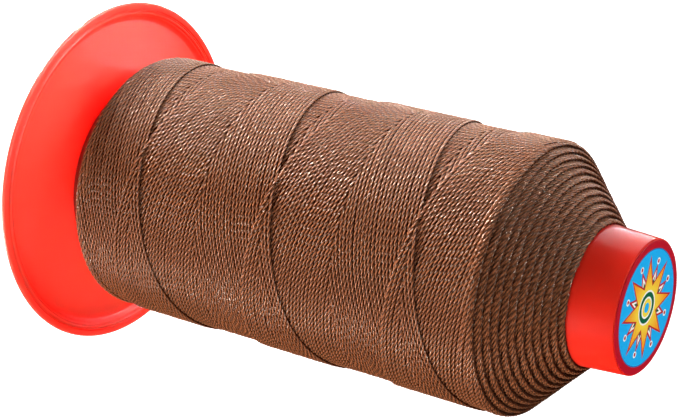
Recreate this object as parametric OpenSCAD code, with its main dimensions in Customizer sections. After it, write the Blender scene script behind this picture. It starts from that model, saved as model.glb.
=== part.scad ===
// Waxed thread spool: a moulded foot with a collar, a tapered tube pressed over the
// collar, a wound package of thread with a conical nose, and a round end label.
// +Z runs along the spool's axis to the labelled end. The origin is the centre of the
// circle on which the foot stands. All sizes are in millimetres.

/* [Foot] */
// Outside diameter of the foot
foot_d = 74.5; // [70:0.5:82]
// Height of the foot's rim above the table
foot_rim_h = 4.2; // [3.8:0.1:5]
// Thickness of the rim's rounded edge
edge_t = 0.9; // [0.7:0.1:1.2]
// Overhang of the rim past the ring that the foot stands on
rim_overhang = 6; // [5:0.2:7]
// Width of the ring that the foot stands on
ring_w = 1.8; // [1.4:0.1:2.4]
// Height of that ring's upright wall, from which the rim flares out
flare_h = 0.8; // [0.6:0.1:1.2]
// Wall thickness of the dish
dish_wall = 1.8; // [1.4:0.1:2.2]
// Height of the flat seat that carries the tube
seat_h = 8.2; // [7:0.1:10]
// Width of the flat band along the rim's edge
band_w = 1.3; // [1:0.1:1.7]
// Width of the fine groove inside the band
groove_w = 0.5; // [0.4:0.1:0.7]
// Width of the bead inside the groove
bead_w = 0.8; // [0.6:0.1:1.1]
// Width of the rounded step from the bead down to the dish
step_w = 1.4; // [1.1:0.1:1.8]
// Drop from the rim to the edge of the dish
dish_drop = 1.1; // [0.8:0.1:1.4]

/* [Collar and bore] */
// Diameter of the bore that drops over a thread stand
bore_d = 32; // [30:0.5:34]
// Wall thickness of the collar round the bore
collar_wall = 1.9; // [1.5:0.1:2.3]
// Height of the collar's top above the table
collar_top = 22; // [18:0.5:28]
// Clearance between the table and the collar's lower end
collar_lift = 0.8; // [0.5:0.1:1.5]
// Chamfer on the collar's top edge, which leads the tube on
collar_chamfer = 0.6; // [0.3:0.1:0.8]

/* [Tube] */
// Height of the tube's end face above the table
tube_h = 130.6; // [125:0.1:136]
// Outside diameter of the tube's free end
tube_end_d = 26.3; // [25:0.1:27]
// Wall thickness of the tube
tube_wall = 1.6; // [1.3:0.1:2]
// Thickness of the closed end
end_web = 1.8; // [1.4:0.1:2.4]
// Rounding of the end face's edge
end_round = 0.2; // [0.1:0.1:0.6]

/* [Thread package] */
// Outside diameter of the full package
package_d = 54.2; // [52:0.2:57]
// Height of the package's lower corner
package_bottom = 14; // [13:0.5:17]
// Height of the shoulder where the conical nose starts
package_shoulder = 109.2; // [105:0.2:112]
// Length of bare tube between the nose and the end face
bare_end = 9.2; // [7:0.2:12]
// Thickness of the outer layer's turns
turn_d = 3.7; // [3.4:0.1:4]
// Gap between neighbouring turns of the outer layer
turn_gap = 0.8; // [0.7:0.05:1]
// Thickness of the inner layers that reach down to the foot
heel_t = 1.2; // [0.8:0.1:1.6]

/* [Label] */
// Thickness of the end label
label_t = 0.2; // [0.1:0.05:0.3]
// Bare plastic left between the label and the rounded edge
label_margin = 0.1; // [0.05:0.05:0.5]

/* [Clearances] */
// Gap between the collar and the tube's socket, per side
socket_clear = 0.1; // [0.05:0.05:0.2]
// Gap between the thread and the plastic, and between the thread's layers
thread_clear = 0.3; // [0.2:0.05:0.4]

/* [Hidden] */

$fn = 144;
arc_steps = 5;            // straight pieces in a small rounding's outline
rings_per_turn = 24;      // cross-sections in one turn of the winding
winding_sides = 6;        // sides of the winding's cross-section
bend_r = 4;               // the winding's rounding at the package's corners
bead_rise = 0.45;         // height of the bead's crown over its ends, per unit of width
end_lean = 0.12;          // slope of the winding's straight ends away from their neighbours

foot_r = foot_d / 2;
bore_r = bore_d / 2;
collar_r = bore_r + collar_wall;
socket_r = collar_r + socket_clear;
tube_end_r = tube_end_d / 2;
tube_slope = (socket_r + tube_wall - tube_end_r) / (tube_h - collar_top);
package_r = package_d / 2;
edge_z = foot_rim_h - edge_t / 2;
groove_r = foot_r - band_w - groove_w / 2;
bead_r = groove_r - groove_w / 2 - bead_w / 2;
bead_foot = foot_rim_h - bead_w * bead_rise;
step_r = bead_r - bead_w / 2;
dish_r = step_r - step_w;
dish_z = foot_rim_h - dish_drop;
seat_r = tube_r(seat_h) + thread_clear;
dish_slope = (seat_h - dish_z) / (dish_r - seat_r);
ring_r = foot_r - rim_overhang;
ring_in_r = ring_r - ring_w;
label_r = tube_end_r - end_round - label_margin;
nose_top = tube_h - bare_end;

// Outside radius of the tapered tube at height z.
function tube_r(z) = tube_end_r + (tube_h - z) * tube_slope;

// Height of the dish's upper surface at radius r.
function dish_top(r) = dish_z + (dish_r - r) * dish_slope;

// Height of the dish's underside at radius r.
function dish_under(r) = dish_top(r) - dish_wall * sqrt(1 + dish_slope * dish_slope);

// Points of an arc round c, from angle a to angle b.
function arc(c, r, a, b) =
    [for (i = [0:arc_steps]) let (t = a + (b - a) * i / arc_steps) c + r * [cos(t), sin(t)]];

// Points of a shallow wave of height h and width w, centred at radius r and height z,
// listed from its outer end to its inner end.
function wave(r, z, w, h) =
    [for (i = [0:arc_steps]) let (t = i / arc_steps) [r + w * (0.5 - t), z + h * sin(180 * t)]];

// Points of a smooth step from p to q, without p: half a cosine wave.
function smooth_step(p, q) =
    [for (i = [1:arc_steps]) let (t = i / arc_steps)
        [p[0] + (q[0] - p[0]) * t, p[1] + (q[1] - p[1]) * (1 - cos(180 * t)) / 2]];

// The package's outline, which tapers at both ends, is three straight lines. Drawn in
// by t from the package's surface, and by side from the tube, it has these four
// points: the heel on the tube, the lower corner, the shoulder and the nose's tip.
heel = [seat_r, seat_h + thread_clear];
tip = [tube_r(nose_top) + thread_clear, nose_top];
heel_dir = unit([package_r, package_bottom] - heel);
nose_dir = unit(tip - [package_r, package_shoulder]);

function unit(v) = v / norm(v);

// The point where a line from p along direction u meets the tube drawn out by side.
function on_tube(p, u, side) =
    p + u * (tube_r(p[1]) + side - p[0]) / (u[0] + tube_slope * u[1]);

function outline(t, side) =
    let (low = [package_r - t, package_bottom + t * (1 - heel_dir[1]) / heel_dir[0]],
         high = [package_r - t, package_shoulder - t * (1 - nose_dir[1]) / -nose_dir[0]])
    [on_tube(low, heel_dir, side), low, high, on_tube(high, nose_dir, side)];

// The winding's centre line in the outline's plane: three straight stretches joined by
// two bends of radius bend_r. Each entry of route_len is one stretch's length.
route = concat(
    [on_tube(outline(turn_d / 2, 0)[1], heel_dir, heel_t + turn_d / 2 + 2 * thread_clear)],
    [for (i = [1:3]) outline(turn_d / 2, turn_d / 2 + thread_clear)[i]]);
low_turn = 90 - atan2(heel_dir[1], heel_dir[0]);
high_turn = atan2(nose_dir[1], nose_dir[0]) - 90;
low_trim = bend_r * tan(low_turn / 2);
high_trim = bend_r * tan(high_turn / 2);
route_len = [
    norm(route[1] - route[0]) - low_trim,
    bend_r * low_turn * PI / 180,
    route[2][1] - route[1][1] - low_trim - high_trim,
    bend_r * high_turn * PI / 180,
    norm(route[3] - route[2]) - high_trim
];
// Distance along the route at which each stretch starts, and the whole length.
route_at = [for (i = 0, s = 0; i <= len(route_len); s = s + (i < len(route_len) ? route_len[i] : 0), i = i + 1) s];

// The place on the route at distance s, as [radius, height, angle of the direction].
function route_place(s) =
    let (low_centre = [route[1][0] - bend_r, route[1][1] + low_trim],
         high_centre = [route[2][0] - bend_r, route[2][1] - high_trim],
         a = 90 - low_turn,
         b = 90 + high_turn)
    s < route_at[1] ? concat(route[0] + s * heel_dir, a) :
    s < route_at[2] ? let (t = a + (s - route_at[1]) / bend_r * 180 / PI)
        concat(low_centre + bend_r * [sin(t), -cos(t)], t) :
    s < route_at[3] ? [route[1][0], low_centre[1] + s - route_at[2], 90] :
    s < route_at[4] ? let (t = 90 + (s - route_at[3]) / bend_r * 180 / PI)
        concat(high_centre + bend_r * [sin(t), -cos(t)], t) :
    concat(route[3] - (route_at[5] - s) * nose_dir, b);

// The turns' spacing along the route, and the number of cross-sections that fills it.
pitch = turn_d + turn_gap;
ring_count = floor(rings_per_turn * route_at[5] / pitch);

// One cross-section's frame: [centre, direction of travel, outward normal].
function ring_frame(i) =
    let (s = route_at[5] * i / ring_count,
         q = route_place(s),
         turn = 360 * i / rings_per_turn,
         out = [cos(turn), sin(turn), 0],
         round = [-sin(turn), cos(turn), 0],
         up = [0, 0, 1],
         along = cos(q[2]) * out + sin(q[2]) * up,
         normal = sin(q[2]) * out - cos(q[2]) * up)
    [q[0] * out + q[1] * up, unit(2 * PI * q[0] * round + pitch * along), normal];

// The corners of the cross-section at centre c, with travel t and outward normal n.
function ring(c, t, n) =
    let (side = cross(t, n))
    [for (k = [0:winding_sides - 1]) let (a = 360 * k / winding_sides)
        c + turn_d / 2 * (cos(a) * n + sin(a) * side)];

// The cross-section past ring i, one tube diameter straight on: way is 1 past the last
// ring and -1 before the first. It leans away from its neighbouring turn.
function end_frame(i, way) =
    let (f = ring_frame(i),
         run = unit(way * f[1] + way * end_lean * cross(f[2], f[1])))
    [f[0] + turn_d * run, way * run, f[2]];

// The thread's outer layer as one unbroken tube with two straight ends.
module winding_tube() {
    rows = concat(
        [end_frame(0, -1)],
        [for (i = [0:ring_count]) ring_frame(i)],
        [end_frame(ring_count, 1)]);
    least = min([for (i = [0:len(rows) - 1], j = [i + rings_per_turn / 2:i + 3 * rings_per_turn / 2])
        if (j < len(rows)) norm(rows[i][0] - rows[j][0]) - turn_d]);
    echo(least_gap_between_turns = least);
    n = winding_sides;
    walls = [for (i = [0:len(rows) - 2], k = [0:n - 1], half = [0, 1])
        let (a = i * n + k, b = i * n + (k + 1) % n)
        half == 0 ? [a, b, a + n] : [b, b + n, a + n]];
    start_cap = [for (k = [1:n - 2]) [0, k + 1, k]];
    end_row = (len(rows) - 1) * n;
    end_cap = [for (k = [1:n - 2]) [end_row, end_row + k, end_row + k + 1]];
    polyhedron(
        points = [for (row = rows) each ring(row[0], row[1], row[2])],
        faces = concat(start_cap, walls, end_cap));
}

// The moulded foot: a dished disc with a thin beaded rim, which overhangs the ring that
// the foot stands on, and a collar.
module foot_flange() {
    color("#f5402f")
        rotate_extrude()
            polygon(concat(
                arc([foot_r - edge_t / 2, edge_z], edge_t / 2, -90, 90),
                wave(groove_r, foot_rim_h, groove_w, -groove_w / 2),
                [[bead_r + bead_w / 2, bead_foot]],
                wave(bead_r, bead_foot, bead_w, bead_w * bead_rise),
                smooth_step([step_r, bead_foot], [dish_r, dish_z]),
                [
                    [seat_r, seat_h],
                    [collar_r, seat_h],
                    [collar_r, collar_top - collar_chamfer],
                    [collar_r - collar_chamfer, collar_top],
                    [bore_r, collar_top],
                    [bore_r, collar_lift],
                    [collar_r, collar_lift],
                    [collar_r, dish_under(collar_r)],
                    [ring_in_r, dish_under(ring_in_r)],
                    [ring_in_r, 0],
                    [ring_r, 0],
                    [ring_r, flare_h]
                ]));
}

// The tapered tube: a socket over the collar, a hollow body and a closed, rounded end.
module spool_tube() {
    color("#d92a1e")
        rotate_extrude()
            polygon(concat(
                [
                    [socket_r, seat_h],
                    [tube_r(seat_h), seat_h],
                    [tube_r(tube_h - end_round), tube_h - end_round]
                ],
                arc([tube_end_r - end_round, tube_h - end_round], end_round, 0, 90),
                [
                    [0, tube_h],
                    [0, tube_h - end_web],
                    [tube_end_r - tube_wall, tube_h - end_web],
                    [socket_r, collar_top]
                ]));
}

// The wound thread under its outer layer, tapered at both ends. Its innermost layers
// reach down to the seat on the foot.
module thread_core() {
    inner = outline(turn_d + thread_clear, thread_clear);
    heel_side = thread_clear + heel_t;
    color("#7d4e38")
        rotate_extrude()
            polygon([
                heel,
                on_tube(heel, heel_dir, heel_side),
                on_tube(inner[1], heel_dir, heel_side),
                inner[1],
                inner[2],
                inner[3]]);
}

// The outer layer of turns.
module thread_winding() {
    color("#9a654a") winding_tube();
}

// The round label stuck to the closed end.
module end_label() {
    color("#2ba6e3")
        translate([0, 0, tube_h])
            cylinder(h = label_t, r = label_r);
}

foot_flange();
spool_tube();
thread_core();
thread_winding();
end_label();
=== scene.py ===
"""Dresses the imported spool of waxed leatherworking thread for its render.

The spool stands on its foot at the origin with its axis along +Z. Lengths in the
classes are in millimetres and become metres where a mesh is made. Turn angles are
measured about the axis from the side that faces the camera (-Y) towards +X.
"""

from __future__ import annotations

import logging
import math
from dataclasses import dataclass, field
from enum import Enum
from typing import Callable, Iterable, Sequence

import bpy
import numpy as np
from mathutils import Matrix, Vector

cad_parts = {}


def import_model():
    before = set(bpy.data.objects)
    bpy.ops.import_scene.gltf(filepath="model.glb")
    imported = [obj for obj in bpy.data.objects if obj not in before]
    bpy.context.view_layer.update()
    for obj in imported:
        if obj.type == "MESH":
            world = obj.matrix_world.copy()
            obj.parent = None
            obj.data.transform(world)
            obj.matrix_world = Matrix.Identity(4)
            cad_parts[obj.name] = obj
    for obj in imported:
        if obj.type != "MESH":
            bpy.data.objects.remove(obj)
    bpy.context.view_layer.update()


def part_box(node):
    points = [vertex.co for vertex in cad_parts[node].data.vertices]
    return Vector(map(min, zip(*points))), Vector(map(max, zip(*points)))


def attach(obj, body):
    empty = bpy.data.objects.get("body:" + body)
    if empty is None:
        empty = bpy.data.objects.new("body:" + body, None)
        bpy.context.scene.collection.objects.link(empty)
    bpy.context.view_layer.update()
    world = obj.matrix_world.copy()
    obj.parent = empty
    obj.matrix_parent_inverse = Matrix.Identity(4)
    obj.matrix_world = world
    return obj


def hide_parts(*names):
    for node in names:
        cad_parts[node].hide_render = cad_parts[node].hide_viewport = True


MM = 0.001
BODY = "root"
BAKE_MAP = "OFBake"
COATED_IOR = 1.5
WHITE = (1.0, 1.0, 1.0)
Array = np.ndarray
Pair = tuple[float, float]
Colour = tuple[float, float, float]
Direction = tuple[float, float, float]
Table = dict | None
log = logging.getLogger("thread_spool")


# ------------ shader expressions


class Sock:
    """One value in a shader, which arithmetic turns into Math nodes."""

    def __init__(self, graph: Graph, link: bpy.types.NodeSocket) -> None:
        """Wraps an output socket of a graph."""
        self.graph = graph
        self.link = link

    def _math(self, operation: str, *values: object) -> Sock:
        """A Math node's result for the values."""
        return self.graph.out("ShaderNodeMath", {"operation": operation}, dict(enumerate(values)))

    def __add__(self, other: object) -> Sock:
        """This value plus another."""
        return self._math("ADD", self, other)

    __radd__ = __add__

    def __mul__(self, other: object) -> Sock:
        """This value times another."""
        return self._math("MULTIPLY", self, other)

    __rmul__ = __mul__

    def __sub__(self, other: object) -> Sock:
        """This value less another."""
        return self._math("SUBTRACT", self, other)

    def __rsub__(self, other: object) -> Sock:
        """Another value less this one."""
        return self._math("SUBTRACT", other, self)

    def of(self, operation: str, *others: object) -> Sock:
        """Any other Math operation on this value, such as SINE or MODULO."""
        return self._math(operation, self, *others)

    def step(self, low: float, high: float) -> Sock:
        """A smooth step from 0 at low to 1 at high, or back where low is above high.

        Args:
            low: the value where the step is 0.
            high: the value where it is 1.

        Returns:
            The step.
        """
        ends = (low, high, 0.0, 1.0) if low < high else (high, low, 1.0, 0.0)
        inputs = dict(zip(("From Min", "From Max", "To Min", "To Max"), ends), Value=self)
        settings = {"interpolation_type": "SMOOTHSTEP", "clamp": True}
        return self.graph.out("ShaderNodeMapRange", settings, inputs)


class Graph:
    """A shader's node tree, with one method that makes any node."""

    def __init__(self, owner: bpy.types.Material | bpy.types.World) -> None:
        """Empties a node tree to draw in.

        Args:
            owner: the material or the world that has the tree.
        """
        owner.use_nodes = True
        self.tree = owner.node_tree
        self.tree.nodes.clear()

    def node(self, kind: str, settings: Table = None, inputs: Table = None) -> bpy.types.Node:
        """Makes a node, applies its settings and then fills its sockets.

        Args:
            kind: Blender's name for the node's type.
            settings: attributes of the node.
            inputs: values, sockets or wrapped sockets by input name or number.

        Returns:
            The new node.
        """
        node = self.tree.nodes.new(kind)
        for key, value in (settings or {}).items():
            setattr(node, key, value)
        for key, value in (inputs or {}).items():
            self.feed(node, key, value)
        return node

    def out(
        self, kind: str, settings: Table = None, inputs: Table = None, output: int | str = 0
    ) -> Sock:
        """One output of a new node, by its name or number."""
        return Sock(self, self.node(kind, settings, inputs).outputs[output])

    def feed(self, node: bpy.types.Node, key: str | int, value: object) -> None:
        """Links or sets one input of a node. A colour of three parts gets an alpha of 1.

        Args:
            node: the node.
            key: the input's name or number.
            value: a plain value, a socket or a wrapped socket.
        """
        socket = node.inputs[key]
        if isinstance(value, Sock):
            self.tree.links.new(value.link, socket)
        elif isinstance(value, bpy.types.NodeSocket):
            self.tree.links.new(value, socket)
        elif isinstance(value, tuple) and len(value) == 3 and len(socket.default_value) == 4:
            socket.default_value = (*value, 1.0)
        else:
            socket.default_value = value

    def surface(self, **values: object) -> None:
        """Makes the Principled shader and its output.

        Args:
            values: the shader's inputs by name, with underscores for spaces.
        """
        named = {key.replace("_", " "): value for key, value in values.items()}
        shader = self.node("ShaderNodeBsdfPrincipled", inputs=named)
        self.node("ShaderNodeOutputMaterial", inputs={"Surface": shader.outputs[0]})

    def attribute(self, name: str, output: str = "Fac") -> Sock:
        """A named attribute of the piece."""
        return self.out("ShaderNodeAttribute", {"attribute_name": name}, output=output)

    def place(self) -> Sock:
        """The point on the piece in the spool's own frame, in metres."""
        return self.out("ShaderNodeTexCoord", output="Object")

    def parts(self, vector: Sock) -> list[Sock]:
        """The three components of a vector."""
        node = self.node("ShaderNodeSeparateXYZ", inputs={0: vector})
        return [Sock(self, output) for output in node.outputs]

    def stretched(self, vector: Sock, scale: Direction) -> Sock:
        """A vector times a scale along each axis."""
        return self.out("ShaderNodeMapping", inputs={"Vector": vector, "Scale": scale})

    def noise(self, vector: Sock, scale: float, detail: float = 2.0) -> Sock:
        """Cloudy noise from 0 to 1."""
        inputs = {"Vector": vector, "Scale": scale, "Detail": detail}
        return self.out("ShaderNodeTexNoise", inputs=inputs)

    def mix(self, mask: Sock, first: object, second: object) -> Sock:
        """The first colour where the mask is 0 and the second where it is 1."""
        inputs = {"Factor": mask, 6: first, 7: second}
        return self.out("ShaderNodeMix", {"data_type": "RGBA"}, inputs, 2)

    def vector(self, operation: str, inputs: dict) -> Sock:
        """A Vector Math node's result."""
        return self.out("ShaderNodeVectorMath", {"operation": operation}, inputs)

    def combed(self, across: str, push: Sock) -> Sock:
        """The surface's normal pushed along an attribute's direction, as by combed filaments.

        The normal plus the direction times the push, brought back to length 1.

        Args:
            across: the name of the attribute.
            push: how far the normal is pushed.

        Returns:
            The new normal.
        """
        normal = self.out("ShaderNodeNewGeometry", output="Normal")
        moved = self.vector("SCALE", {0: self.attribute(across, "Vector"), "Scale": push})
        return self.vector("NORMALIZE", {0: self.vector("ADD", {0: normal, 1: moved})})

    def bump(self, height: Sock, distance: float, strength: float) -> Sock:
        """A normal that is tilted by a height, in units of the distance in metres."""
        inputs = {"Height": height, "Distance": distance, "Strength": strength}
        return self.out("ShaderNodeBump", inputs=inputs)


# ------------ finishes


@dataclass(frozen=True)
class Finish:
    """What all finishes share: a name, and a shader that each of them draws."""

    name: str

    def draw(self, g: Graph) -> None:
        """Draws the shader, which each finish does in its own way."""
        raise NotImplementedError

    def material(self) -> bpy.types.Material:
        """Makes a new material of the finish's name and draws its shader.

        Returns:
            The material.
        """
        material = bpy.data.materials.new(self.name)
        self.draw(Graph(material))
        return material


@dataclass(frozen=True)
class MouldedPlastic(Finish):
    """Glossy injection-moulded plastic with faint flow marks, scuffs and specks, and painted shade
    where a piece marks its hollows.

    The reach of its inner glow is in millimetres, and scales are in waves per metre. A
    span holds the noise's values between which a mark goes from absent to full.
    """

    colour: Colour
    deep_colour: Colour
    roughness: float
    glow: float
    glow_reach: float
    shine: float
    glow_tint: Colour = (1.0, 0.1, 0.05)
    # Colour and share of the painted shade in the hollows that a piece marks.
    painted_recess_shade_colour: Colour = (0.86, 0.045, 0.022)
    painted_recess_shade_share: float = 0.7
    flow_scale: float = 45.0
    flow_span: Pair = (0.35, 0.7)
    scuff_scale: Direction = (900.0, 260.0, 500.0)
    scuff_span: Pair = (0.5, 0.8)
    scuff_matt: float = 0.03
    speck_scale: float = 1400.0
    speck_span: Pair = (0.72, 0.8)
    speck_matt: float = 0.04
    scuff_height: float = 0.03
    speck_height: float = 0.05
    relief: float = 0.06
    relief_strength: float = 0.35

    def draw(self, g: Graph) -> None:
        """Draws the plastic, whose tone, roughness and fine relief vary over the surface.

        Args:
            g: the material's graph.
        """
        place = g.place()
        flow = g.noise(place, self.flow_scale, 3.0)
        scuff = g.noise(g.stretched(place, self.scuff_scale), 1.0, 4.0)
        speck = g.noise(place, self.speck_scale).step(*self.speck_span)
        tone = g.mix(flow.step(*self.flow_span), self.colour, self.deep_colour)
        matt = scuff.step(*self.scuff_span) * self.scuff_matt
        # Painted shade, mixed into the colour where the piece marks its rim's groove and the step
        # behind its bead.
        painted_recess_shade = g.attribute("painted_recess_shade") * self.painted_recess_shade_share
        height = flow + scuff * self.scuff_height + speck * self.speck_height
        g.surface(
            Base_Color=g.mix(painted_recess_shade, tone, self.painted_recess_shade_colour),
            Roughness=self.roughness + matt + speck * self.speck_matt,
            IOR=COATED_IOR,
            Specular_IOR_Level=self.shine,
            Subsurface_Weight=self.glow,
            Subsurface_Radius=tuple(self.glow_reach * MM * part for part in self.glow_tint),
            Subsurface_Scale=1.0,
            Normal=g.bump(height, self.relief * MM, self.relief_strength),
        )


@dataclass(frozen=True)
class WaxedThread(Finish):
    """Three-ply twisted filament thread with a silky coat of wax, with painted shade between its
    plies and down its sides.

    Scales are for the piece's fibre values: two round the thread and one along it.
    """

    colour: Colour
    pale_colour: Colour
    # The colour of the painted shade between the plies and down each thread's sides.
    painted_shade_colour: Colour
    shine: float = 0.56
    glint: Colour = (1.0, 0.72, 0.55)
    roughness: float = 0.26
    roundness: float = 1.0
    spread: float = 0.75
    depth_span: Pair = (0.13, 0.42)
    painted_side_shade_share: float = 0.9
    groove_span: Pair = (0.3, 0.95)
    streak_scale: Direction = (9.0, 9.0, 0.5)
    streak_span: Pair = (0.3, 0.75)
    streak_share: float = 0.6
    patch_scale: Direction = (0.6, 0.6, 0.12)
    patch_share: float = 0.4
    patch_matt: float = 0.05
    groove_matt: float = 0.04
    depth_gloss: float = 0.06

    def draw(self, g: Graph) -> None:
        """Draws thread that is streaked along its filaments, with painted shade between its plies
        and down its sides.

        Args:
            g: the material's graph.
        """
        fibre = g.attribute("fibre", "Vector")
        across_ply = g.attribute("ply").of("FRACT") * 2.0 - 1.0
        # Painted shade: the colour darkens down each thread's sides, towards the threads beside and
        # under it, and between its plies.
        depth = g.attribute("depth").step(*self.depth_span)
        groove = across_ply.of("ABSOLUTE").step(*self.groove_span)
        streak = g.noise(g.stretched(fibre, self.streak_scale), 1.0, 3.0)
        patch = g.noise(g.stretched(fibre, self.patch_scale), 1.0)
        pale = streak.step(*self.streak_span) * self.streak_share + patch * self.patch_share
        body = g.mix(pale, self.colour, self.pale_colour)
        ply_shaded = g.mix(groove, body, self.painted_shade_colour)
        matt = self.roughness + patch * self.patch_matt + groove * self.groove_matt
        g.surface(
            Base_Color=g.mix(depth * self.painted_side_shade_share, ply_shaded, self.painted_shade_colour),
            Roughness=matt - depth * self.depth_gloss,
            IOR=COATED_IOR,
            Specular_IOR_Level=self.shine,
            Specular_Tint=self.glint,
            Normal=g.combed("across", across_ply * self.roundness + (streak - 0.5) * self.spread),
        )


@dataclass(frozen=True)
class PrintedLabel(Finish):
    """A coated paper disc, printed with a plain star inside a coloured border.

    Lengths are in millimetres. A ray is its tip's radius, and its half width for each
    millimetre behind the tip.
    """

    radius: float
    border: float = 1.5
    border_line: float = 0.22
    blur: float = 0.06
    rays: int = 8
    long_ray: Pair = (9.3, 0.30)
    short_ray: Pair = (7.4, 0.34)
    dot_ring: float = 9.0
    tone_span: Pair = (2.2, 9.0)
    shine: float = 0.08
    roughness: float = 0.32
    paper_scale: float = 900.0
    paper_matt: float = 0.14
    paper_relief: float = 0.02
    relief_strength: float = 0.25

    def draw(self, g: Graph) -> None:
        """Draws the print in polar form about the axis.

        Args:
            g: the material's graph.
        """
        place = g.place()
        x, y, _ = g.parts(g.stretched(place, (1 / MM, 1 / MM, 1 / MM)))
        radius = (x * x + y * y).of("SQRT")
        angle = y.of("ARCTAN2", x)
        blue = (0.012, 0.44, 0.9)
        crimson = (0.5, 0.006, 0.02)
        green = (0.004, 0.13, 0.05)
        yellow = (0.95, 0.72, 0.06)
        orange = (0.95, 0.3, 0.015)
        cream = (0.95, 0.93, 0.87)
        navy = (0.01, 0.16, 0.45)

        def folded(turn: float) -> tuple[Sock, Sock]:
            """How far a point lies along the middle of its sector and aside of it.

            Args:
                turn: how far the sectors are turned.

            Returns:
                The two lengths, in millimetres.
            """
            sector = math.tau / self.rays
            local = (angle + turn + math.tau).of("MODULO", sector) - sector / 2
            return radius * local.of("COSINE"), radius * local.of("SINE")

        def ray(turn: float, tip: float, slope: float) -> Sock:
            """How far a point lies inside the nearest ray, in millimetres."""
            along, aside = folded(turn)
            return (tip - along) * slope - aside.of("ABSOLUTE")

        half = math.pi / self.rays
        long_ray, short_ray = ray(0.0, *self.long_ray), ray(half, *self.short_ray)
        along, aside = folded(half)
        beyond = along - self.dot_ring
        dot = (beyond * beyond + aside * aside).of("SQRT")
        tone = g.mix(radius.step(*self.tone_span), yellow, orange)
        rim = self.radius - self.border
        # Each entry is a value, the limit where its ink starts or ends, and the ink. Discs
        # are inked below their limit, and the others above it.
        rises = [(short_ray, -0.45, crimson), (short_ray, 0.0, cream), (short_ray, 0.4, green)]
        rises += [(long_ray, -0.35, crimson), (long_ray, 0.0, tone)]
        edging = [(radius, rim - self.border_line, navy), (radius, rim, crimson)]
        discs = [(dot, 0.62, cream), (dot, 0.36, crimson), (radius, 3.35, cream)]
        discs += [(radius, 3.0, green), (radius, 2.1, cream), (radius, 1.75, yellow)]
        discs += [(radius, 0.95, blue)]
        steps = [(value.step(at, at + self.blur), tint) for value, at, tint in rises]
        steps += [(value.step(at + self.blur, at), tint) for value, at, tint in discs]
        steps += [(value.step(at, at + self.blur), tint) for value, at, tint in edging]
        ink = blue
        for mask, tint in steps:
            ink = g.mix(mask, ink, tint)
        paper = g.noise(place, self.paper_scale, 3.0)
        g.surface(
            Base_Color=ink,
            Roughness=self.roughness + paper * self.paper_matt,
            IOR=COATED_IOR,
            Specular_IOR_Level=self.shine,
            Normal=g.bump(paper, self.paper_relief * MM, self.relief_strength),
        )


@dataclass(frozen=True)
class PaleFloor(Finish):
    """The studio's plain pale floor."""

    name: str = "pale_floor"
    colour: Colour = (0.9, 0.9, 0.9)
    shade: float = 0.985
    cloud_scale: float = 3.0
    roughness: float = 0.8
    glow: float = 1.0

    def draw(self, g: Graph) -> None:
        """Draws paint that glows and is faintly uneven, as on a painted board.

        Args:
            g: the material's graph.
        """
        cloud = g.noise(g.place(), self.cloud_scale)
        tone = g.mix(cloud, self.colour, tuple(self.shade * part for part in self.colour))
        g.surface(
            Base_Color=tone,
            Roughness=self.roughness,
            Emission_Color=tone,
            Emission_Strength=self.glow,
        )


# ------------ geometry


@dataclass
class Shape:
    """A mesh as arrays: points in metres, faces as corner lists and a map for bakes."""

    points: Array
    corners: Array
    counts: Array
    map: Array
    values: dict[str, Array] = field(default_factory=dict)
    corner_values: dict[str, Array] = field(default_factory=dict)

    @staticmethod
    def joined(shapes: Iterable[Shape]) -> Shape:
        """Puts several shapes in one mesh, side by side on the bake's map.

        Args:
            shapes: the shapes, which all carry the same values.

        Returns:
            One shape.
        """
        found = list(shapes)

        def merged(sets: list[dict[str, Array]]) -> dict[str, Array]:
            """Each named value of all the shapes, end to end."""
            return {key: np.concatenate([one[key] for one in sets]) for key in sets[0]}

        firsts = np.cumsum([0] + [len(s.points) for s in found[:-1]])
        share = 1.0 / len(found)
        maps = [s.map * [share, 1.0] + [share * i, 0.0] for i, s in enumerate(found)]
        return Shape(
            np.concatenate([s.points for s in found]),
            np.concatenate([s.corners + first for s, first in zip(found, firsts)]),
            np.concatenate([s.counts for s in found]),
            np.concatenate(maps),
            merged([s.values for s in found]),
            merged([s.corner_values for s in found]),
        )

    def piece(self, name: str, crease: float | None = 35.0) -> bpy.types.Object:
        """Makes the Blender object, smooth shaded, with its place in its mesh.

        Args:
            name: the piece's name.
            crease: the angle in degrees past which an edge is sharp, or None.

        Returns:
            The new object, at the origin.
        """
        mesh = bpy.data.meshes.new(name)
        mesh.vertices.add(len(self.points))
        mesh.vertices.foreach_set("co", self.points.astype(np.float32).ravel())
        mesh.loops.add(len(self.corners))
        mesh.loops.foreach_set("vertex_index", self.corners.astype(np.int32))
        mesh.polygons.add(len(self.counts))
        starts = np.concatenate(([0], np.cumsum(self.counts)[:-1]))
        mesh.polygons.foreach_set("loop_start", starts.astype(np.int32))
        mesh.polygons.foreach_set("use_smooth", np.ones(len(self.counts), bool))
        mesh.update(calc_edges=True)
        layer = mesh.uv_layers.new(name=BAKE_MAP)
        layer.uv.foreach_set("vector", self.map.astype(np.float32).ravel())
        for domain, values in (("POINT", self.values), ("CORNER", self.corner_values)):
            for key, value in values.items():
                kind, slot = ("FLOAT", "value") if value.ndim == 1 else ("FLOAT_VECTOR", "vector")
                store = mesh.attributes.new(key, kind, domain)
                store.data.foreach_set(slot, value.astype(np.float32).ravel())
        if crease is not None:
            mesh.set_sharp_from_angle(angle=math.radians(crease))
        thing = bpy.data.objects.new(name, mesh)
        bpy.context.scene.collection.objects.link(thing)
        return thing


def arc(centre: Pair, radius: float, start: float, end: float, steps: int = 8) -> Array:
    """Points on an arc: the centre plus the radius along each angle, in degrees."""
    angle = np.radians(np.linspace(start, end, steps + 1))
    return np.array(centre) + radius * np.stack([np.cos(angle), np.sin(angle)], 1)


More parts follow.
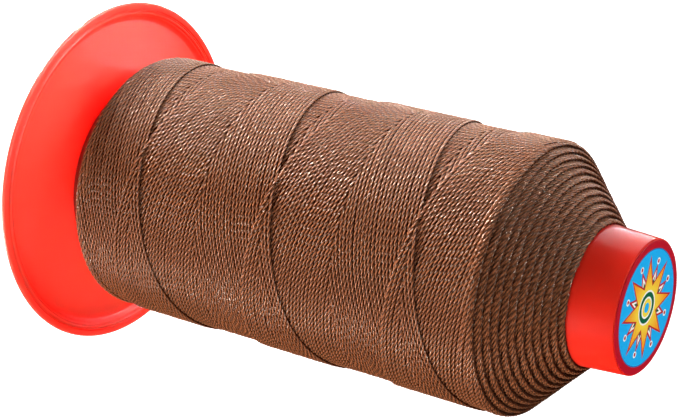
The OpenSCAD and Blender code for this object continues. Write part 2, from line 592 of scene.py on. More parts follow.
def wave(radius: float, height: float, width: float, rise: float, steps: int = 12) -> Array:
    """Half a sine wave from its outer end inwards, which rises or dips between its ends."""
    t = np.linspace(0.0, 1.0, steps + 1)
    return np.stack([radius + width * (0.5 - t), height + rise * np.sin(np.pi * t)], 1)


def smooth_step(start: Pair, end: Pair, steps: int = 16) -> Array:
    """Half a cosine wave from one point to another, level at both ends; the start is left out.

    Args:
        start: the first point's radius and height.
        end: the last point's radius and height.
        steps: the curve's number of pieces.

    Returns:
        The points.
    """
    t = np.linspace(0.0, 1.0, steps + 1)[1:]
    across = start[0] + (end[0] - start[0]) * t
    return np.stack([across, start[1] + (end[1] - start[1]) * (1 - np.cos(np.pi * t)) / 2], 1)


def rounded(corners: Sequence[tuple[float, float, float]], steps: int = 5) -> Array:
    """An outline whose corners are rounded off.

    Each rounded corner is a quadratic curve from a point on one side to the point as
    far along the other, with the corner as its control point.

    Args:
        corners: each corner's radius and height, and the length cut from its sides.
        steps: the curve's number of pieces.

    Returns:
        The outline's points.
    """
    rows = np.array(corners, float)
    before = np.roll(rows, 1, 0)[:, :2] - rows[:, :2]
    after = np.roll(rows, -1, 0)[:, :2] - rows[:, :2]
    before /= np.linalg.norm(before, axis=1, keepdims=True)
    after /= np.linalg.norm(after, axis=1, keepdims=True)
    points = []
    for corner, back, on in zip(rows, before, after):
        if corner[2] == 0:
            points.append(corner[None, :2])
            continue
        t = np.linspace(0, 1, steps + 1)[:, None]
        start = corner[:2] + back * corner[2]
        end = corner[:2] + on * corner[2]
        points.append((1 - t) ** 2 * start + 2 * t * (1 - t) * corner[:2] + t**2 * end)
    return np.concatenate(points)


def lathe(profile: Array, steps: int = 240) -> Shape:
    """Turns a profile about the axis.

    A point at radius r and height z becomes (r sin u, -r cos u, z) at turn angle u.
    The profile runs anticlockwise, with the radius to the right and the height up. It is
    closed, or both its ends lie on the axis, and there the last faces are triangles.

    Args:
        profile: points (radius, height) in millimetres.
        steps: the number of faces round the axis.

    Returns:
        The closed shape.
    """
    poles = profile[0, 0] == 0 and profile[-1, 0] == 0
    body = profile[1:-1] if poles else profile
    count, first = len(body), int(poles)
    points = around(
        np.linspace(0, math.tau, steps, endpoint=False), body[:, 0, None], body[:, 1, None]
    ).reshape(-1, 3)
    k = np.arange(count - 1 if poles else count)[:, None]
    j = np.arange(steps)[None, :]
    up, on = (k + 1) % count, (j + 1) % steps
    quads = np.stack([k * steps + j, k * steps + on, up * steps + on, up * steps + j], -1)
    span = np.linalg.norm(np.diff(np.vstack([profile, profile[:1]]), axis=0), axis=1)
    reach = np.concatenate(([0], np.cumsum(span)))
    level = reach / (reach[-2] if poles else reach[-1])
    low, high = level[k + first], level[k + first + 1]
    left, right = j / steps, (j + 1) / steps
    pairs = [(left, low), (right, low), (right, high), (left, high)]
    uv = np.stack([np.stack(np.broadcast_arrays(across, rise), -1) for across, rise in pairs], -2)
    corners = [quads.reshape(-1)]
    counts = [np.full(quads.shape[0] * quads.shape[1], 4)]
    maps = [uv.reshape(-1, 2)]
    if poles:
        ring, top = np.arange(steps), (count - 1) * steps
        nxt = (ring + 1) % steps
        side, middle, far = ring / steps, (ring + 0.5) / steps, (ring + 1) / steps
        fans = (
            (profile[0], nxt, ring, far, side, 0.0, level[1]),
            (profile[-1], top + ring, top + nxt, side, far, 1.0, level[-3]),
        )
        for pole, a, b, across_a, across_b, tip, edge in fans:
            corners.append(np.stack([np.full(steps, len(points)), a, b], -1).reshape(-1))
            counts.append(np.full(steps, 3))
            tips, edges = np.full(steps, tip), np.full(steps, edge)
            fan_map = np.stack([middle, tips, across_a, edges, across_b, edges], -1)
            maps.append(fan_map.reshape(-1, 2))
            points = np.vstack([points, [[0, 0, pole[1]]]])
    return Shape(points * MM, np.concatenate(corners), np.concatenate(counts), np.concatenate(maps))


def unit(rows: Array) -> Array:
    """Each row at length 1."""
    return rows / np.linalg.norm(rows, axis=1, keepdims=True)


def around(turn: Array, radius: Array, height: Array) -> Array:
    """Points at turn angles about the axis: (r sin u, -r cos u, z)."""
    return np.stack([radius * np.sin(turn), -radius * np.cos(turn), height + 0 * turn], -1)


def ease(t: Array) -> Array:
    """A smooth step from 0 to 1 as t goes from 0 to 1."""
    s = np.clip(t, 0.0, 1.0)
    return s * s * (3 - 2 * s)


def dress(piece: bpy.types.Object, finish: bpy.types.Material, node: str) -> None:
    """Gives a finished piece its material, attaches it to its body and hides the CAD node that it
    stands for.

    Args:
        piece: the piece, with its place in its mesh.
        finish: its material.
        node: the CAD node that the piece replaces.
    """
    piece.data.materials.append(finish)
    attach(piece, BODY)
    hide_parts(node)
    log.info("%s stands for %s: %d faces", piece.name, node, len(piece.data.polygons))


# ------------ sub-assemblies


@dataclass
class Foot:
    """The moulded foot: a dish with a thin beaded rim, a standing ring and a collar.

    The finish paints shade into the rim's groove and the step behind its bead, over
    groove_shade of the groove's width and step_shade of the step's, on top of the shade
    that their relief casts.
    """

    finish: MouldedPlastic
    radius: float
    collar_top: float
    seat_height: float
    tube_radius_at_seat: float
    rim_height: float = 4.2
    edge: float = 0.9
    overhang: float = 6.0
    ring_width: float = 1.8
    flare_height: float = 0.8
    wall: float = 1.8
    band: float = 1.3
    groove: float = 0.5
    bead: float = 0.8
    bead_rise: float = 0.45
    step: float = 1.4
    dish_drop: float = 1.1
    bore_radius: float = 16.0
    collar_wall: float = 1.9
    collar_lift: float = 0.8
    seat_margin: float = 0.3
    edge_steps: int = 14
    sides: int = 288
    # Widths, shift and strength of the painted shade in the rim's groove and behind its bead.
    groove_shade: float = 0.6
    step_shade: float = 0.3
    step_shade_shift: float = 0.2
    step_darkness: float = 0.8

    def __post_init__(self) -> None:
        """Works out where each part of the rim and the dish lies."""
        self.groove_radius = self.radius - self.band - self.groove / 2
        self.bead_radius = self.groove_radius - self.groove / 2 - self.bead / 2
        self.step_radius = self.bead_radius - self.bead / 2
        self.dish_radius = self.step_radius - self.step
        self.dish_edge = self.rim_height - self.dish_drop
        self.seat_radius = self.tube_radius_at_seat + self.seat_margin
        self.collar_radius = self.bore_radius + self.collar_wall
        self.ring_radius = self.radius - self.overhang
        self.ring_inside = self.ring_radius - self.ring_width
        self.slope = (self.seat_height - self.dish_edge) / (self.dish_radius - self.seat_radius)

    def underside(self, radius: float) -> float:
        """The height of the dish's underside at a radius."""
        top = self.dish_edge + (self.dish_radius - radius) * self.slope
        return top - self.wall * math.hypot(1.0, self.slope)

    def profile(self) -> Array:
        """The foot's closed outline, anticlockwise from the underside of its edge.

        Returns:
            Points (radius, height) in millimetres.
        """
        edge = self.edge / 2
        bead_foot = self.rim_height - self.bead * self.bead_rise
        rim = [
            arc((self.radius - edge, self.rim_height - edge), edge, -90, 90, self.edge_steps),
            wave(self.groove_radius, self.rim_height, self.groove, -self.groove / 2),
            wave(self.bead_radius, bead_foot, self.bead, self.bead * self.bead_rise),
            smooth_step((self.step_radius, bead_foot), (self.dish_radius, self.dish_edge)),
        ]
        rest = rounded(
            [
                (self.dish_radius, self.dish_edge, 0.0),
                (self.seat_radius, self.seat_height, 0.15),
                (self.collar_radius, self.seat_height, 0.1),
                (self.collar_radius, self.collar_top, 0.6),
                (self.bore_radius, self.collar_top, 0.3),
                (self.bore_radius, self.collar_lift, 0.3),
                (self.collar_radius, self.collar_lift, 0.3),
                (self.collar_radius, self.underside(self.collar_radius), 0.8),
                (self.ring_inside, self.underside(self.ring_inside), 0.5),
                (self.ring_inside, 0.0, 0.3),
                (self.ring_radius, 0.0, 0.3),
                (self.ring_radius, self.flare_height, 0.2),
                (self.radius - edge, self.rim_height - self.edge, 0.0),
            ]
        )
        return np.concatenate([*rim, rest[1:-1]])

    def _painted_recess_shade(self, points: Array) -> Array:
        """How much painted shade each point gets: a bell curve at the rim's groove and one behind
        its bead.

        Args:
            points: the foot's points in millimetres.

        Returns:
            A value for each point, from 0 to 1.
        """
        radius = np.hypot(points[:, 0], points[:, 1])
        groove = (radius - self.groove_radius) / (self.groove_shade * self.groove)
        shift = self.step_shade_shift * self.step
        step = (radius - self.step_radius + shift) / (self.step_shade * self.step)
        dark = np.exp(-(groove**2)) + self.step_darkness * np.exp(-(step**2))
        return dark * (points[:, 2] > self.rim_height - self.edge)

    def build(self) -> None:
        """Builds and dresses the piece that stands for the CAD foot."""
        shape = lathe(self.profile(), self.sides)
        # The painted shade in the rim's groove and behind its bead, which the finish mixes into its
        # colour.
        shape.values["painted_recess_shade"] = self._painted_recess_shade(shape.points / MM)
        dress(shape.piece("moulded_foot"), self.finish.material(), "foot_flange")


@dataclass
class Tube:
    """The tapered tube that carries the thread, closed and rounded at its free end."""

    finish: MouldedPlastic
    low: float
    high: float
    low_radius: float
    end_radius: float = 13.15
    wall: float = 1.6
    web: float = 1.8
    edge: float = 0.2
    socket_radius: float = 18.0
    socket_top: float = 22.0
    side_steps: int = 40
    sides: int = 240

    def radius(self, height: Array | float) -> Array | float:
        """The tube's outside radius at a height: a straight taper to its free end."""
        slope = (self.low_radius - self.end_radius) / (self.high - self.low)
        return self.end_radius + (self.high - height) * slope

    def build(self) -> None:
        """Builds and dresses the piece that stands for the CAD tube."""
        inner = self.end_radius - self.wall
        outline = rounded(
            [
                (0.0, self.high - self.web, 0.0),
                (inner, self.high - self.web, 0.5),
                (self.socket_radius, self.socket_top, 0.0),
                (self.socket_radius, self.low, 0.2),
                (self.low_radius, self.low, 0.2),
                (self.radius(self.high - self.edge), self.high - self.edge, 0.0),
            ]
        )
        end = arc((self.end_radius - self.edge, self.high - self.edge), self.edge, 0, 90)
        side = np.linspace(outline[-2], outline[-1], self.side_steps + 1)[1:-1]
        profile = np.concatenate([outline[:-1], side, end, [(0.0, self.high)]])
        tube = lathe(profile, self.sides).piece("tapered_tube")
        dress(tube, self.finish.material(), "spool_tube")


@dataclass
class EndLabel:
    """The round label on the tube's end face."""

    low: float
    thickness: float
    radius: float
    edge: float = 0.06
    edge_steps: int = 4
    face_steps: int = 13
    sides: int = 192

    def build(self) -> None:
        """Builds and dresses the piece that stands for the CAD label."""
        top = self.low + self.thickness
        flat = self.radius - self.edge
        profile = np.concatenate(
            [
                [(0.0, self.low), (self.radius, self.low)],
                arc((flat, top - self.edge), self.edge, 0, 90, self.edge_steps),
                [(r, top) for r in np.linspace(flat, 0.0, self.face_steps + 1)[1:]],
            ]
        )
        label = lathe(profile, self.sides).piece("printed_label")
        finish = PrintedLabel("printed_label", self.radius).material()
        dress(label, finish, "end_label")


class Lay(Enum):
    """Which way a thread climbs as it turns about the axis."""

    RISING = 1
    FALLING = -1


class End(Enum):
    """An end of the package, as its way along the axis."""

    NOSE = 1
    HEEL = -1


@dataclass
class Runs:
    """Stretches of thread that are swept together.

    place gives a point in millimetres for each sample, from the number of its stretch
    and its place along it, from starts to stops.
    """

    place: Callable[[Array, Array], Array]
    starts: Array
    stops: Array
    lengths: Array


@dataclass
class TwistedThread:
    """Three plies in a right-handed twist, swept along stretches of the winding."""

    width: float = 0.84
    flatness: float = 0.84
    lay_length: float = 4.3
    plies: int = 3
    columns: int = 9
    sections_per_lay: int = 8
    ply_groove: float = 0.36
    fibre_shift: float = 20.0
    nudge: float = 0.01
    strip_pitch: float = 1.25
    strip_slack: float = 1.06
    seed: int = 7

    def sweep(self, runs: Runs) -> Shape:
        """Sweeps the thread's section along every stretch at once.

        The section is a ring of points that turns with the twist, so its columns follow
        the plies. A point's distance from the middle is the thread's radius on a ply and
        less in the groove between two, and the ring is flattened towards the axis.

        Args:
            runs: the stretches.

        Returns:
            One closed tube for each stretch, with the values that the finish reads.
        """
        step = self.lay_length / self.sections_per_lay
        samples = np.maximum(np.ceil(runs.lengths / step).astype(int) + 1, 3)
        total = int(samples.sum())
        firsts = np.concatenate(([0], np.cumsum(samples)[:-1]))
        run = np.repeat(np.arange(len(samples)), samples)
        share = (np.arange(total) - firsts[run]) / (samples[run] - 1)
        spans = (runs.stops - runs.starts)[run]
        t = runs.starts[run] + share * spans
        nudge = self.nudge * spans / samples[run]
        middle = runs.place(run, t)
        travel = unit(runs.place(run, t + nudge) - runs.place(run, t - nudge))
        out = middle * [1.0, 1.0, 0.0]
        out = unit(out - travel * (out * travel).sum(1, keepdims=True))
        side = np.cross(travel, out)
        offset = np.random.default_rng(self.seed + len(samples)).random(len(samples))
        along = share * runs.lengths[run]
        column = np.arange(self.columns)
        turns = (along / self.lay_length + offset[run])[:, None]
        angle = math.tau * (column / self.columns + turns)
        in_groove = (column % (self.columns // self.plies) == 0).astype(float)
        reach = self.width / 2 * (1.0 - self.ply_groove * in_groove)
        out, side, travel = out[:, None], side[:, None], travel[:, None]
        cosine, sine = np.cos(angle)[..., None], np.sin(angle)[..., None]
        points = middle[:, None] + reach[:, None] * (self.flatness * cosine * out + sine * side)
        corners, counts, maps = self._faces(samples, firsts, run, share, runs.lengths)
        strand = math.tau * column / self.columns
        spun = np.cos(strand) + self.fibre_shift * offset[run][:, None]
        fibre = np.stack(np.broadcast_arrays(spun, np.sin(strand), along[:, None]), -1)
        twist = (math.tau * reach / self.lay_length)[:, None]
        across = cosine * side - sine * out - twist * travel
        # depth runs from 0 on a thread's outer side to 1 on its inner side; the finish paints shade
        # with it.
        values = {
            "across": unit(across.reshape(-1, 3)),
            "depth": (0.5 - 0.5 * np.cos(angle)).reshape(-1),
            "fibre": fibre.reshape(-1, 3),
        }
        corner_values = {"ply": self._ply_places(int((samples - 1).sum()), len(samples))}
        return Shape(points.reshape(-1, 3) * MM, corners, counts, maps, values, corner_values)

    def _ply_places(self, rings: int, ends: int) -> Array:
        """How many plies lie between the first column and each face corner, seamless.

        Args:
            rings: the number of rings of wall faces.
            ends: the number of stretches, with two caps each.

        Returns:
            Each face corner's value.
        """
        share = np.arange(self.columns) * self.plies / self.columns
        step = self.plies / self.columns
        walls = np.stack([share, share + step, share + step, share], -1)
        caps = np.full(2 * ends * self.columns, 0.5)
        return np.concatenate([np.tile(walls.reshape(-1), rings), caps])

    def _faces(
        self, samples: Array, firsts: Array, run: Array, share: Array, lengths: Array
    ) -> tuple[Array, Array, Array]:
        """The tubes' walls and end caps, and their strips on the bake's map.

        Args:
            samples: the number of sections of each stretch.
            firsts: the number of each stretch's first section.
            run: the stretch of each section.
            share: each section's place along its stretch, from 0 to 1.
            lengths: the stretches' lengths.

        Returns:
            The faces' corners, their numbers of corners and the corners' map.
        """
        n = self.columns
        here = np.flatnonzero(run[:-1] == run[1:])[:, None]
        c = np.arange(n)[None, :]
        lower, upper = here * n, (here + 1) * n
        nxt = (c + 1) % n
        walls = np.stack([lower + c, lower + nxt, upper + nxt, upper + c], -1)
        starts = firsts[:, None] * n + c[:, ::-1]
        ends = (firsts + samples - 1)[:, None] * n + c
        tall = self.width * math.pi
        left, low, side = self._rows(lengths + 2 * tall, self.strip_pitch * tall)
        u = left[run] + share * lengths[run]
        u0, u1 = (np.broadcast_to(u[here + k], (len(here), n)) for k in (0, 1))
        base = low[run[here[:, 0]]][:, None]
        v0, v1 = base + tall * c / n, base + tall * (c + 1) / n
        wall_map = np.stack([u0, v0, u0, v1, u1, v1, u1, v0], -1).reshape(-1, 2)
        turn = math.tau * c / n
        cap, to_cap, to_other = 0.4 * tall, 0.6 * tall, 0.9 * tall
        ring = np.stack([np.cos(turn), np.sin(turn)], -1) * cap
        cap_middle = np.stack([left + lengths + to_cap, low + tall / 2], -1)[:, None]
        cap_map = (cap_middle + ring).reshape(-1, 2)
        other_map = (cap_middle + [to_other, 0.0] + ring[:, ::-1]).reshape(-1, 2)
        corners = np.concatenate([walls.reshape(-1), starts.reshape(-1), ends.reshape(-1)])
        counts = np.concatenate([np.full(walls.shape[0] * n, 4), np.full(2 * len(samples), n)])
        return corners, counts, np.concatenate([wall_map, other_map, cap_map]) / side

    def _rows(self, widths: Array, height: float) -> tuple[Array, Array, float]:
        """Lays strips of one height in rows on a square map.

        Args:
            widths: the strips' widths.
            height: their height.

        Returns:
            Each strip's left edge and lower edge, and the square's side.
        """
        side = max(math.sqrt(widths.sum() * height) * self.strip_slack, widths.max())
        left, low = np.zeros(len(widths)), np.zeros(len(widths))
        x = y = 0.0
        for i in np.argsort(-widths, kind="stable"):
            if x + widths[i] > side:
                x, y = 0.0, y + height
            left[i], low[i] = x, y
            x += widths[i]
        return left, low, max(side, y + height)


@dataclass
class ThreadPackage:
    """The cross-wound package with its conical nose and its tapered heel.

    Rising and falling threads cover each other in turn. Each family has one newest
    thread, whose age is 0, and the ages of the others grow to 1 over one lead. At any
    place the younger family is on top, so rising and falling threads show in bands that
    are half a lead high. At both ends the threads turn back in arcs, and each layer
    ends a step further in than the one under it.

    band_lap holds how far a band's threads run on past its lower and its upper edge, and
    tuck how far they run on under the younger family, all in distances between two
    crossings. A ring's arcs stand ring_shift threads round from those of the ring outside
    it. They run over arc_span, in radians from where they turn, and rise by a layer over
    sink_span from sink_start. The core keeps back from the ends by core_back, core_heel
    and core_shoulder times the depth at which it lies.
    """

    finish: WaxedThread
    core_finish: WaxedThread
    tube: Tube
    seat_height: float
    radius: float = 27.1
    bottom: float = 14.0
    shoulder: float = 109.2
    bare_end: float = 9.2
    clearance: float = 0.3
    lead: float = 32.6
    threads_per_lead: int = 40
    band_start: float = 28.8
    band_turn: float = math.radians(-15.0)
    band_lap: Pair = (0.6, 1.6)
    tuck: float = 2.2
    end_margin: float = 0.6
    nose_rings: int = 12
    outer_rings: int = 5
    layer_share: float = 0.4
    ring_shift: float = 2.4
    turn_back: float = math.radians(20.0)
    arc_span: Pair = (-0.2, 0.56)
    sink_start: float = -0.1
    sink_span: float = 0.45
    core_back: float = 2.2
    core_heel: float = 0.4
    core_shoulder: float = 0.7
    core_lip: float = 0.2
    core_sides: int = 160
    wander: float = 0.05
    wander_out: float = 0.4
    thread: TwistedThread = field(default_factory=TwistedThread)

    def __post_init__(self) -> None:
        """Works out the nose's and heel's steps and the thickness of one layer."""
        self.nose_height = self.tube.high - self.bare_end
        self.nose_radius = float(self.tube.radius(self.nose_height)) + self.clearance
        self.heel_height = self.seat_height + self.clearance
        self.heel_radius = float(self.tube.radius(self.seat_height)) + self.clearance
        self.high = self.thread.width * self.thread.flatness
        self.step_in = (self.radius - self.nose_radius - self.high) / (self.nose_rings - 1)
        self.step_up = (self.nose_height - self.shoulder) / (self.nose_rings - 1)
        self.heel_rings = int((self.radius - self.heel_radius) / self.step_in)
        self.heel_step = (self.bottom - self.heel_height) / (self.heel_rings + 1)
        self.layer = self.layer_share * self.step_in
        self.half = self.lead / 2
        self.rise = self.lead / math.tau

    def _wobble(self, key: Array, turn: Array) -> Array:
        """A slow sideways drift in mm: three sine waves, with phases that each thread has.

        Args:
            key: each thread's own number.
            turn: the turn angles along it.

        Returns:
            The drift at each place.
        """
        waves = ((2.3, 1.0, 12.9898), (5.1, 0.7, 78.233), (11.7, 0.4, 37.719))
        return self.wander * sum(
            share * np.sin(rate * turn + 43.7 * np.sin(key * scatter))
            for rate, share, scatter in waves
        )

    def _drop(self, turn: Array) -> Array:
        """How far an arc lies behind its turning point: a parabola, then a straight line.

        Args:
            turn: turn angles from the arc's turning point.

        Returns:
            The drop at each angle, in millimetres.
        """
        size = np.abs(turn)
        curve = self.rise / (2 * self.turn_back) * size**2
        line = self.rise * (size - self.turn_back / 2)
        return np.where(size < self.turn_back, curve, line)

    def band(self, lay: Lay, start: float, low: float, high: float) -> Runs:
        """One family's stretches that show in a band half a lead high.

        A rising thread of age a shows from the band's lower edge to the share 1 - a of
        its height, where the newest falling thread covers it. A falling thread of age b
        shows from the share b to the upper edge. On both edges each thread passes from
        one layer to the next between two crossings.

        Args:
            lay: the family.
            start: the height of the band's lower edge.
            low: the height under which nothing of the family shows.
            high: the height over which nothing of the family shows.

        Returns:
            The stretches.
        """
        count = self.threads_per_lead
        age = (np.arange(count) + 0.5) / count
        crossing = self.half / count
        early, late = self.band_lap
        if lay is Lay.RISING:
            first = start - early * crossing
            last = start + (1 - age) * self.half + self.tuck * crossing
        else:
            first = start + age * self.half - self.tuck * crossing
            last = start + self.half + late * crossing
        first = np.clip(first + 0 * age, low, high)
        last = np.clip(last + 0 * age, low, high)
        keep = last - first > 2 * crossing
        age, first, last = age[keep], first[keep], last[keep]
        sign = lay.value

        def place(run: Array, z: Array) -> Array:
            """The thread's middle: a helix whose radius falls with both families' ages.

            Args:
                run: the stretch of each place.
                z: each place's height.

            Returns:
                The points.
            """
            own = age[run]
            share = (z - start) / self.half
            climb = z - self.band_start + sign * own * self.lead
            turn = self.band_turn + sign * climb / self.rise
            if lay is Lay.RISING:
                depth = 2 * own + share - ease((z - start) / crossing)
            else:
                depth = 2 * own - share + ease((z - start - self.half) / crossing)
            wobble = self._wobble(own * 7 + sign, turn)
            middle = self.radius - self.high / 2 - self.layer * depth
            return around(turn, middle + self.wander_out * wobble, z + wobble)

        lengths = (last - first) / math.sin(math.atan2(self.rise, self.radius))
        return Runs(place, first, last, lengths)

    def ring(self, radius: float, edge: float, end: End, shift: float) -> Runs:
        """The arcs in which one layer's threads turn back at its edge.

        Each arc climbs to its turning point and falls away again, and it lies on the
        arcs before it: its early part is one layer down and its late part on top.

        Args:
            radius: the layer's outside radius.
            edge: the height of its edge.
            end: the package's end.
            shift: the turn angle of the first arc.

        Returns:
            The stretches.
        """
        count = self.threads_per_lead
        apex = shift - math.tau * np.arange(count) / count
        first, last = (np.full(count, angle) for angle in self.arc_span)
        key = np.arange(count) + 10 * edge

        def place(run: Array, turn: Array) -> Array:
            """The thread's middle, behind the layer's edge by the arc's drop.

            Args:
                run: the arc of each place.
                turn: each place's turn angle from where its arc turns.

            Returns:
                The points.
            """
            wobble = self._wobble(key[run], turn + apex[run])
            height = edge - end.value * (self.thread.width / 2 + self._drop(turn) + wobble)
            sunk = self.layer * (1 - ease((turn - self.sink_start) / self.sink_span))
            middle = radius - self.high / 2 - sunk
            return around(apex[run] + turn, middle + self.wander_out * wobble, height)

        return Runs(place, first, last, (last - first) * radius)

    def core(self) -> Shape:
        """The plain solid under the outer layer, a thread's thickness down or more.

        Returns:
            The closed shape.
        """
        sink = 2 * self.layer + self.high
        nose_end = self.nose_height - self.core_back * sink
        tube_radius = float(self.tube.radius(nose_end))
        outline = [
            (self.heel_radius - self.core_lip, self.heel_height),
            (self.heel_radius + self.core_lip, self.heel_height),
            (self.radius - sink, self.bottom + self.core_heel * sink),
            (self.radius - sink, self.shoulder - self.core_shoulder * sink),
            (tube_radius + 2 * self.core_lip, nose_end),
            (tube_radius + self.core_lip / 2, nose_end),
        ]
        return lathe(np.array(outline), self.core_sides)

    def build(self) -> None:
        """Builds and dresses the pieces that stand for the two CAD nodes of thread."""
        core = self.core()
        count = len(core.points)
        core.values = {
            "across": np.zeros((count, 3)),
            "depth": np.zeros(count),
            "fibre": core.points / MM,
        }
        piece = core.piece("package_core")
        dress(piece, self.core_finish.material(), "thread_core")
        finish = self.finish.material()
        for name, runs in self._groups():
            piece = Shape.joined([self.thread.sweep(r) for r in runs]).piece(name, None)
            dress(piece, finish, "thread_winding")

    def _groups(self) -> Iterable[tuple[str, list[Runs]]]:
        """The named groups of stretches: the bands, the nose's rings and the heel's.

        Returns:
            Each piece's name with its stretches.
        """
        turn_depth = self.rise * self.turn_back / 2 + self.thread.width / 2
        low, high = self.bottom + turn_depth, self.shoulder - turn_depth
        under = math.ceil((self.band_start - self.bottom) / self.half)
        start = self.band_start - self.half * under
        number = 1
        while start < high:
            runs = [
                self.band(Lay.RISING, start, low, high - self.end_margin),
                self.band(Lay.FALLING, start, low + self.end_margin, high),
            ]
            yield f"winding_band_{number}", [r for r in runs if len(r.starts)]
            start += self.half
            number += 1
        nose = self._rings(End.NOSE, self.shoulder, self.step_up, self.nose_rings)
        yield "nose_rings_outer", nose[: self.outer_rings]
        yield "nose_rings_inner", nose[self.outer_rings :]
        yield "heel_rings", self._rings(End.HEEL, self.bottom, self.heel_step, self.heel_rings + 1)

    def _rings(self, end: End, edge: float, step: float, count: int) -> list[Runs]:
        """The rings of arcs at one end, each a step further in than the one under it.

        The outermost ring's arcs are in line with the falling threads at the nose, and
        with the rising ones at the heel.

        Args:
            end: the package's end.
            edge: the height of the outermost ring's edge.
            step: how far each ring's edge lies past the one outside it.
            count: the number of rings.

        Returns:
            The rings' stretches, from the outermost inwards.
        """
        way = end.value
        apex = edge - way * self.thread.width / 2
        climb = apex - self.band_start - way * 0.5 * self.lead / self.threads_per_lead
        first = self.band_turn - way * climb / self.rise - self.turn_back / 2
        spread = math.tau / self.threads_per_lead
        return [
            self.ring(
                self.radius - k * self.step_in,
                edge + way * (k * step),
                end,
                first + self.ring_shift * k * spread,
            )
            for k in range(count)
        ]


# ------------ studio


@dataclass(frozen=True)
class Lamp:
    """A square soft light.

    It has the way to it by the camera's right, down and away, its size in metres, its
    power in watts on what scatters light and in reflections, and its distance in metres.
    """

    name: str
    way: Direction
    size: float
    power: float
    gleam: float
    distance: float = 0.8


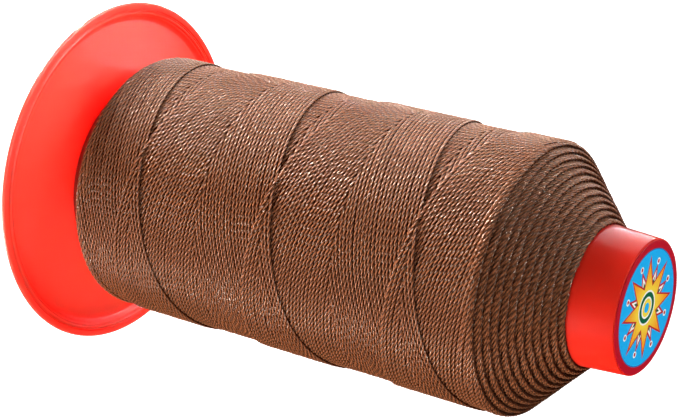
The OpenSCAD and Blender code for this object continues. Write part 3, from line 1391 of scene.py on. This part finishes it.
@dataclass
class Studio:
    """The floor, the soft lights and the camera.

    The camera is given as the spool is seen: how far the rim's centre lies to its right,
    down and away in millimetres, and how the spool's axis is turned towards the right
    and downwards in radians.
    """

    rim_height: float = 3.5
    rim_centre: Direction = (-48.07, -8.48, 428.18)
    axis_right: float = 1.0035
    axis_down: float = 0.2112
    focal_pixels: float = 1950.4
    picture_width: float = 679.0
    sensor: float = 36.0
    backdrop: float = 1.0
    ambient: float = 0.17
    aim_height: float = 65.0
    near_clip: float = 0.01
    floor_reach: float = 3.0
    lamps: tuple[Lamp, ...] = (
        Lamp("key_light", (-0.64, -0.69, 0.22), 0.24, 13.2, 13.5),
        Lamp("top_light", (-0.1, -0.76, 0.64), 1.0, 4.5, 20.0),
        Lamp("side_light", (0.84, -0.32, -0.38), 0.6, 4.6, 11.0),
        Lamp("far_light", (0.92, -0.31, 0.24), 0.5, 0.6, 1.2),
        Lamp("front_light", (0.2, 0.65, -0.7), 0.6, 1.2, 0.0),
        Lamp("table_light", (-0.4, 0.9, -0.15), 0.5, 8.1, 0.4),
        Lamp("left_light", (-0.9, -0.3, -0.3), 0.6, 3.6, 0.0),
        Lamp("low_light", (-0.87, 0.48, -0.1), 0.35, 1.8, 9.0),
        Lamp("nose_light", (0.49, 0.11, -0.85), 0.3, 0.0, 2.2),
        Lamp("under_light", (-0.824, -0.21, 0.526), 0.6, 4.0, 0.0, 0.5),
    )

    def axes(self) -> Array:
        """The spool's +X, +Y and +Z as rows, by the camera's right, down and away.

        Returns:
            The three rows.
        """
        right, down = self.axis_right, self.axis_down
        level = math.cos(down)
        along = np.array([math.sin(right) * level, math.sin(down), -math.cos(right) * level])
        near = -np.array(self.rim_centre) / np.linalg.norm(self.rim_centre)
        near -= (near @ along) * along
        near /= np.linalg.norm(near)
        return np.stack([np.cross(along, near), -near, along])

    def camera(self) -> None:
        """Makes the camera and aims it."""
        to_spool = self.axes()
        spot = (to_spool @ -np.array(self.rim_centre) + [0.0, 0.0, self.rim_height]) * MM
        right, down, away = to_spool.T
        pose = Matrix.Identity(4)
        for column, axis in enumerate((right, -down, -away, spot)):
            for row in range(3):
                pose[row][column] = axis[row]
        data = bpy.data.cameras.new("camera")
        data.sensor_fit = "HORIZONTAL"
        data.sensor_width = self.sensor
        data.lens = self.focal_pixels / self.picture_width * self.sensor
        data.clip_start = self.near_clip
        camera = bpy.data.objects.new("camera", data)
        camera.matrix_world = pose
        bpy.context.scene.collection.objects.link(camera)
        bpy.context.scene.camera = camera

    def _light(self, lamp: Lamp) -> None:
        """Makes one lamp as up to two lights in one place, which shine on the spool's middle.

        One lights what scatters light and the other shows in reflections.

        Args:
            lamp: the lamp.
        """
        way = Vector(self.axes() @ np.array(lamp.way)).normalized()
        uses = ((lamp.name, lamp.power, False), (f"{lamp.name}_gleam", lamp.gleam, True))
        for name, power, gleams in uses:
            if not power:
                continue
            data = bpy.data.lights.new(name, "AREA")
            data.size = lamp.size
            data.energy = power
            data.cycles.use_multiple_importance_sampling = False
            light = bpy.data.objects.new(name, data)
            light.location = Vector((0.0, 0.0, self.aim_height * MM)) + way * lamp.distance
            light.rotation_euler = (-way).to_track_quat("-Z", "Y").to_euler()
            light.visible_camera = False
            light.visible_diffuse = not gleams
            light.visible_glossy = gleams
            bpy.context.scene.collection.objects.link(light)

    def lights(self) -> None:
        """Makes the soft lights and the pale surroundings, which light less than they show."""
        for lamp in self.lamps:
            self._light(lamp)
        world = bpy.data.worlds.new("studio")
        g = Graph(world)
        lit, shown = (
            g.node("ShaderNodeBackground", inputs={"Color": WHITE, "Strength": strength}).outputs[0]
            for strength in (self.ambient, self.backdrop)
        )
        seen = g.out("ShaderNodeLightPath", output="Is Camera Ray")
        either = g.node("ShaderNodeMixShader", inputs={0: seen, 1: lit, 2: shown})
        g.node("ShaderNodeOutputWorld", inputs={"Surface": either.outputs[0]})
        bpy.context.scene.world = world
        world.cycles_visibility.glossy = False
        bpy.context.scene.view_settings.view_transform = "Standard"

    def floor(self) -> None:
        """Makes the floor, which the camera alone sees and which casts no shadow."""
        square = np.array([(0, 0), (1, 0), (1, 1), (0, 1)], float)
        points = np.column_stack([(2 * square - 1) * self.floor_reach, np.zeros(4)])
        floor = Shape(points, np.arange(4), np.array([4]), square).piece("floor", None)
        floor.data.materials.append(PaleFloor().material())
        floor.visible_diffuse = floor.visible_glossy = floor.visible_shadow = False


def main() -> None:
    """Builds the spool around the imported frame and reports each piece."""
    logging.basicConfig(level=logging.INFO, format="%(name)s: %(message)s")
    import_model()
    foot_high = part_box("foot_flange")[1] / MM
    tube_low, tube_high = (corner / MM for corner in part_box("spool_tube"))
    label_low, label_high = (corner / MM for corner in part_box("end_label"))

    studio = Studio()
    studio.camera()
    studio.lights()
    studio.floor()

    red = MouldedPlastic("tube_red", (0.75, 0.022, 0.01), (0.71, 0.019, 0.008), 0.3, 0.3, 8.0, 0.07)
    orange_red = MouldedPlastic(
        "foot_red", (0.98, 0.118, 0.074), (0.96, 0.1, 0.062), 0.22, 0.55, 9.0, 0.62
    )
    brown = WaxedThread(
        "brown_thread", (0.29, 0.086, 0.031), (0.36, 0.118, 0.046), (0.034, 0.009, 0.004)
    )
    # The core's thread is darker than the outer thread: painted shade for the package's depths seen
    # between outer threads.
    core_brown_painted_shade = WaxedThread(
        "core_thread_painted_shade", (0.09, 0.028, 0.012), (0.12, 0.04, 0.017), (0.03, 0.009, 0.004)
    )

    tube = Tube(red, tube_low.z, tube_high.z, tube_high.x)
    foot = Foot(orange_red, foot_high.x, foot_high.z, tube_low.z, tube_high.x)
    package = ThreadPackage(brown, core_brown_painted_shade, tube, tube_low.z)
    label = EndLabel(label_low.z, label_high.z - label_low.z, label_high.x)
    for part in (foot, tube, package, label):
        part.build()


if __name__ == "__main__":
    main()
